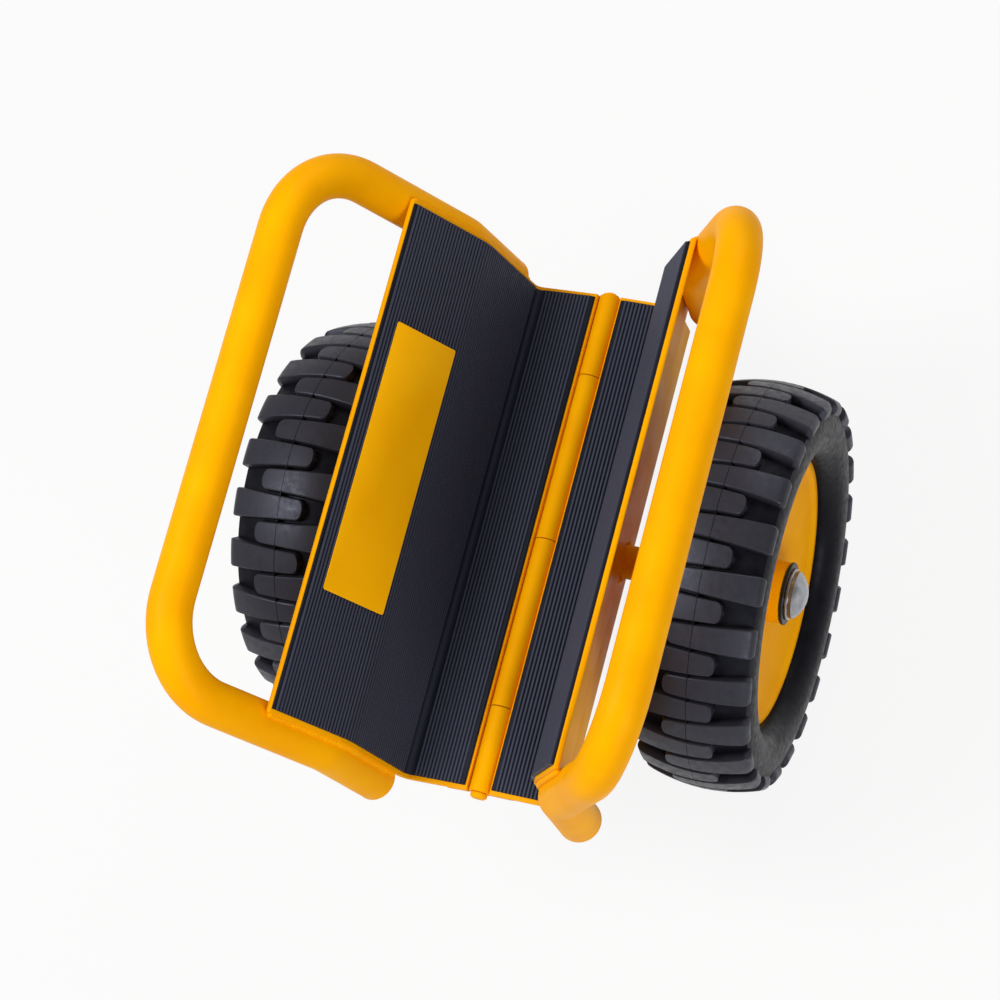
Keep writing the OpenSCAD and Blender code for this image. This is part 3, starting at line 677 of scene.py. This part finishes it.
# A lug over the tread, and its way down the shoulder: radius from the shoulder's, height, radius and height
# of its base, and share of its width
lugTread = (-18.05, -17.7, -17, -15.9, -14.3, -12, -8, -4, 0, 7, 14, 21, 28, 34, 37.6)
lugShoulder = ((0.9, 39.9, 134.6, 37, 1), (-0.8, 41.6, 134, 37.2, 0.96), (-2.8, 42.7, 133.2, 37.4, 0.91),
               (-4.8, 43, 132.4, 37.6, 0.87), (-7, 42.6, 131.4, 37.8, 0.85), (-8.6, 41.9, 130.6, 38, 0.84),
               (-9.4, 40.8, 130.2, 38.2, 0.83))


def lugStations():
    rootHalf = tyre["rootShare"] * math.pi * tyre["radius"] / tyre["lugs"]
    tip, start = tyre["lugTip"], tyre["lugTaper"]
    stations = []

    def width(z):
        if z < start:
            return rootHalf * 0.72 * max(0, 1 - ((start - z) / (start - tip)) ** 3) ** (1 / 3)
        return rootHalf * (0.72 + 0.28 * (z - start) / (1.1 * tyre["half"] - start))

    for z in lugTread:
        r = treadRadius(z)
        stations.append((Vector((r, z)), Vector((r - tyre["lug"] - 0.8, z)), width(z)))
    shoulder = treadRadius(tyre["half"])
    for rise, z, baseRadius, baseZ, share in lugShoulder:
        stations.append((Vector((shoulder + rise, z)), Vector((baseRadius, baseZ)), width(40) * share))
    return stations


def lug(bm, angle, way):
    rings = []
    stations = lugStations()
    first = stations[0]
    stations = [(first[1] + Vector((0.4, -0.9)), first[1] + Vector((0, -0.9)), 0.5)] + stations
    for top, base, width in stations:
        ring = []
        edge = min(1.0, width * 0.5)
        for share, w in ((0, -width - 0.9), (0.8, -width), (0.93, -width + 0.25 * edge), (1, -width + edge),
                         (1, -width * 0.4), (1, 0), (1, width * 0.4), (1, width - edge),
                         (0.93, width - 0.25 * edge), (0.8, width), (0, width + 0.9)):
            spot = base.lerp(top, share)
            a = angle + w / top.x
            ring.append(inWheel @ Vector((spot.x * math.cos(a), spot.x * math.sin(a), spot.y * way)))
        rings.append(ring)
    # The lug's top and sides get the full painted highlight and shine; only its two base edges go without
    crestHighlight = bm.verts.layers.float["crestHighlight"]
    for row in ringsToMesh(bm, rings):
        for vert in row[1:-1]:
            vert[crestHighlight] = 1


def tyrePiece():
    bm = bmesh.new()
    bm.verts.layers.float.new("crestHighlight")
    carcass(bm)
    pitch = 2 * math.pi / tyre["lugs"]
    for i in range(tyre["lugs"]):
        lug(bm, math.pi + i * pitch, 1)
        lug(bm, math.pi + (i + 0.5) * pitch, -1)
    return bm


# Rim halves: a dished disc with a boss, a rolled edge and half of the barrel
rim = {"sheet": 2.5, "edge": 5, "dish": 13, "boss": 22.5, "hub": 17.05, "bossOut": 30, "bossIn": 36,
       "split": 0.05}


def rimHalf(boss, way):
    bm = bmesh.new()
    r, half = tyre["rim"], tyre["rimHalf"]
    floor = half - rim["dish"]
    sheet, edge = rim["sheet"], rim["edge"]
    points = [(rim["hub"], boss), (rim["boss"], boss), (rim["boss"], floor), (r - 2 * edge, half - sheet),
              (r - edge, half), (r, half), (r, rim["split"]), (r - sheet, rim["split"]),
              (r - sheet, half - 2 * sheet), (rim["boss"], floor - sheet), (rim["hub"], floor - sheet)]
    outline = rounded([Vector(p) for p in points], [0.6, 1.6, 3.5, 8, 2.2, 1, 0, 0, 1, 0, 0], 6)
    revolve(bm, outline, inWheel @ Matrix.Diagonal((1, 1, way, 1)), 128)
    return bm


# Hub: a tube through both bosses, with a nylon bush in each end
hub = {"bore": 14, "radius": 17, "bushRadius": 13.95, "bushLength": 18}


def hubTube():
    bm = bmesh.new()
    low, high = -rim["bossIn"], rim["bossOut"]
    outline = [Vector(p) for p in ((hub["bore"], low), (hub["radius"], low), (hub["radius"], high),
                                   (hub["bore"], high))]
    revolve(bm, rounded(outline, [0.4] * 4, 3), inWheel, 64)
    return bm


def hubBushes():
    bm = bmesh.new()
    for low in (-rim["bossIn"], rim["bossOut"] - hub["bushLength"]):
        r, high = hub["bushRadius"], low + hub["bushLength"]
        outline = [Vector(p) for p in ((journalBore, low), (r, low), (r, high), (journalBore, high))]
        revolve(bm, rounded(outline, [0.5] * 4, 3), inWheel, 64)
    return bm


for side in ("left", "right"):
    place, mirrored = places[side], mirroredPlaces[side]
    body, wheel = side + "_jaw", side + "_wheel"
    for name, bm, spot, slotName in (
            ("jaw_plate", jawPlate(), place, "yellow_paint"),
            ("hinge_leaf", hingeLeaf(), place, "yellow_paint"),
            ("floor_pad", floorPad(), place, "pad_rubber"), ("side_pad", sidePad(), place, "pad_rubber"),
            ("axle", axle(), place, "yellow_paint"), ("axle_cap", axleCap(), place, "zinc_steel"),
            ("stop_blocks", stopBlocks(), place, "yellow_paint"),
            ("spring_anchors", springAnchors(), place, "yellow_paint"),
            ("handle", handle(), mirrored, "yellow_paint"),
            ("handle_plugs", handlePlugs(), mirrored, "yellow_paint"),
            ("axle_rail", axleRail(), mirrored, "yellow_paint"),
            ("inner_washer", washer(axleLine["innerFace"] - washerSizes["thick"]), place, "zinc_steel"),
            ("outer_washer", washer(axleLine["outerFace"]), place, "black_steel")):
        piece(side + "_" + name + "_look", bm, spot, body, [side + "_" + name], slotName)
    print(side, "jaw made")
    for name, bm, slotName in (
            ("tyre", tyrePiece(), "tyre_rubber"), ("outer_rim", rimHalf(rim["bossOut"], 1), "yellow_paint"),
            ("inner_rim", rimHalf(rim["bossIn"], -1), "yellow_paint"),
            ("hub_tube", hubTube(), "yellow_paint"), ("hub_bushes", hubBushes(), "nylon")):
        piece(side + "_" + name + "_look", bm, place, wheel, [side + "_" + name], slotName)
    print(side, "wheel made")

piece("label_plate_look", labelPlate(), places["left"], "left_jaw", ["label_plate"], "label_yellow")
piece("hinge_pin_look", hingePin(), rightPlace, "left_jaw", ["hinge_pin"], "yellow_paint")
piece("pin_clip_look", pinClip(), rightPlace, "left_jaw", ["pin_clip"], "yellow_paint")
for name, y in (("near_spring", -stop["springY"]), ("far_spring", stop["springY"])):
    coil = piece(name + "_look", openingSpring(y), rightPlace, None, [name], "spring_steel")
    height = (jaw["hingeHeight"] - stop["drop"]) * millimetre
    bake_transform(coil, "left_jaw", "right_jaw", (-stop["half"] * millimetre, y * millimetre, height),
             (stop["half"] * millimetre, y * millimetre, height))
print("hinge, springs and label plate made")

# Stage: a pale floor that shows nearly white and keeps a soft shadow
stage = {"half": 40, "tone": "#D2D2D1", "glow": 0.88}
bm = bmesh.new()
bmesh.ops.create_grid(bm, x_segments=1, y_segments=1, size=stage["half"])
floorMesh = bpy.data.meshes.new("stageFloor")
bm.to_mesh(floorMesh)
bm.free()
floorObject = bpy.data.objects.new("stageFloor", floorMesh)
bpy.context.scene.collection.objects.link(floorObject)
floorMaterial, tree, shader = material("stageFloor")
shader.inputs["Base Color"].default_value = linear(stage["tone"])
shader.inputs["Roughness"].default_value = 0.9
shader.inputs["Specular IOR Level"].default_value = 0.1
ray = addNode(tree, "ShaderNodeLightPath")
seen = addNode(tree, "ShaderNodeMath", {0: ray.outputs["Is Camera Ray"], 1: ray.outputs["Is Glossy Ray"]},
               operation="MAXIMUM")
seen = addNode(tree, "ShaderNodeMath", {0: seen.outputs[0], 1: ray.outputs["Is Transmission Ray"]},
               operation="MAXIMUM")
share = addNode(tree, "ShaderNodeMath", {0: seen.outputs[0], 1: stage["glow"]}, operation="MULTIPLY")
glow = addNode(tree, "ShaderNodeEmission", {"Color": (1, 1, 1, 1), "Strength": 1.0})
mix = addNode(tree, "ShaderNodeMixShader", {0: share.outputs[0], 1: shader.outputs[0], 2: glow.outputs[0]})
tree.links.new(mix.outputs[0], tree.nodes["Material Output"].inputs["Surface"])
floorMesh.materials.append(floorMaterial)

# Light: a bright soft room, a broad key from above and a weaker fill
roomStrength = 0.36
world = bpy.data.worlds.new("room")
bpy.context.scene.world = world
world.use_nodes = True
world.node_tree.nodes["Background"].inputs["Color"].default_value = (1, 1, 1, 1)
world.node_tree.nodes["Background"].inputs["Strength"].default_value = roomStrength
lamps = {
    "key": {"spot": (-1.2, -0.5, 2.6), "size": 1.3, "power": 52},
    "fill": {"spot": (1.8, -1.6, 1.4), "size": 1.1, "power": 26},
    "back": {"spot": (0.4, 2.2, 1.6), "size": 1.6, "power": 18},
}
target = Vector((0, 0, 0.2))
for name, lamp in lamps.items():
    light = bpy.data.lights.new(name, "AREA")
    light.shape = "DISK"
    light.size = lamp["size"]
    light.energy = lamp["power"]
    lampObject = bpy.data.objects.new(name, light)
    lampObject.location = lamp["spot"]
    lampObject.rotation_mode = "QUATERNION"
    lampObject.rotation_quaternion = (target - Vector(lamp["spot"])).to_track_quat("-Z", "Y")
    bpy.context.scene.collection.objects.link(lampObject)

# Camera at the photograph's place, found by fitting the plate, tubes and wheels
camera = {
    "lens": 124.165, "sensor": 36,
    "place": ((0.918740, -0.155869, 0.362796, 0.880897), (0.253204, 0.937580, -0.238395, -0.582776),
              (-0.302992, 0.310884, 0.900859, 2.473984), (0, 0, 0, 1)),
}
cameraData = bpy.data.cameras.new("photoCamera")
cameraData.lens = camera["lens"]
cameraData.sensor_width = camera["sensor"]
cameraObject = bpy.data.objects.new("photoCamera", cameraData)
cameraObject.matrix_world = Matrix(camera["place"])
bpy.context.scene.collection.objects.link(cameraObject)
bpy.context.scene.camera = cameraObject
bpy.context.scene.view_settings.view_transform = "Standard"
print("stage, light and camera made")

bpy.context.view_layer.update()
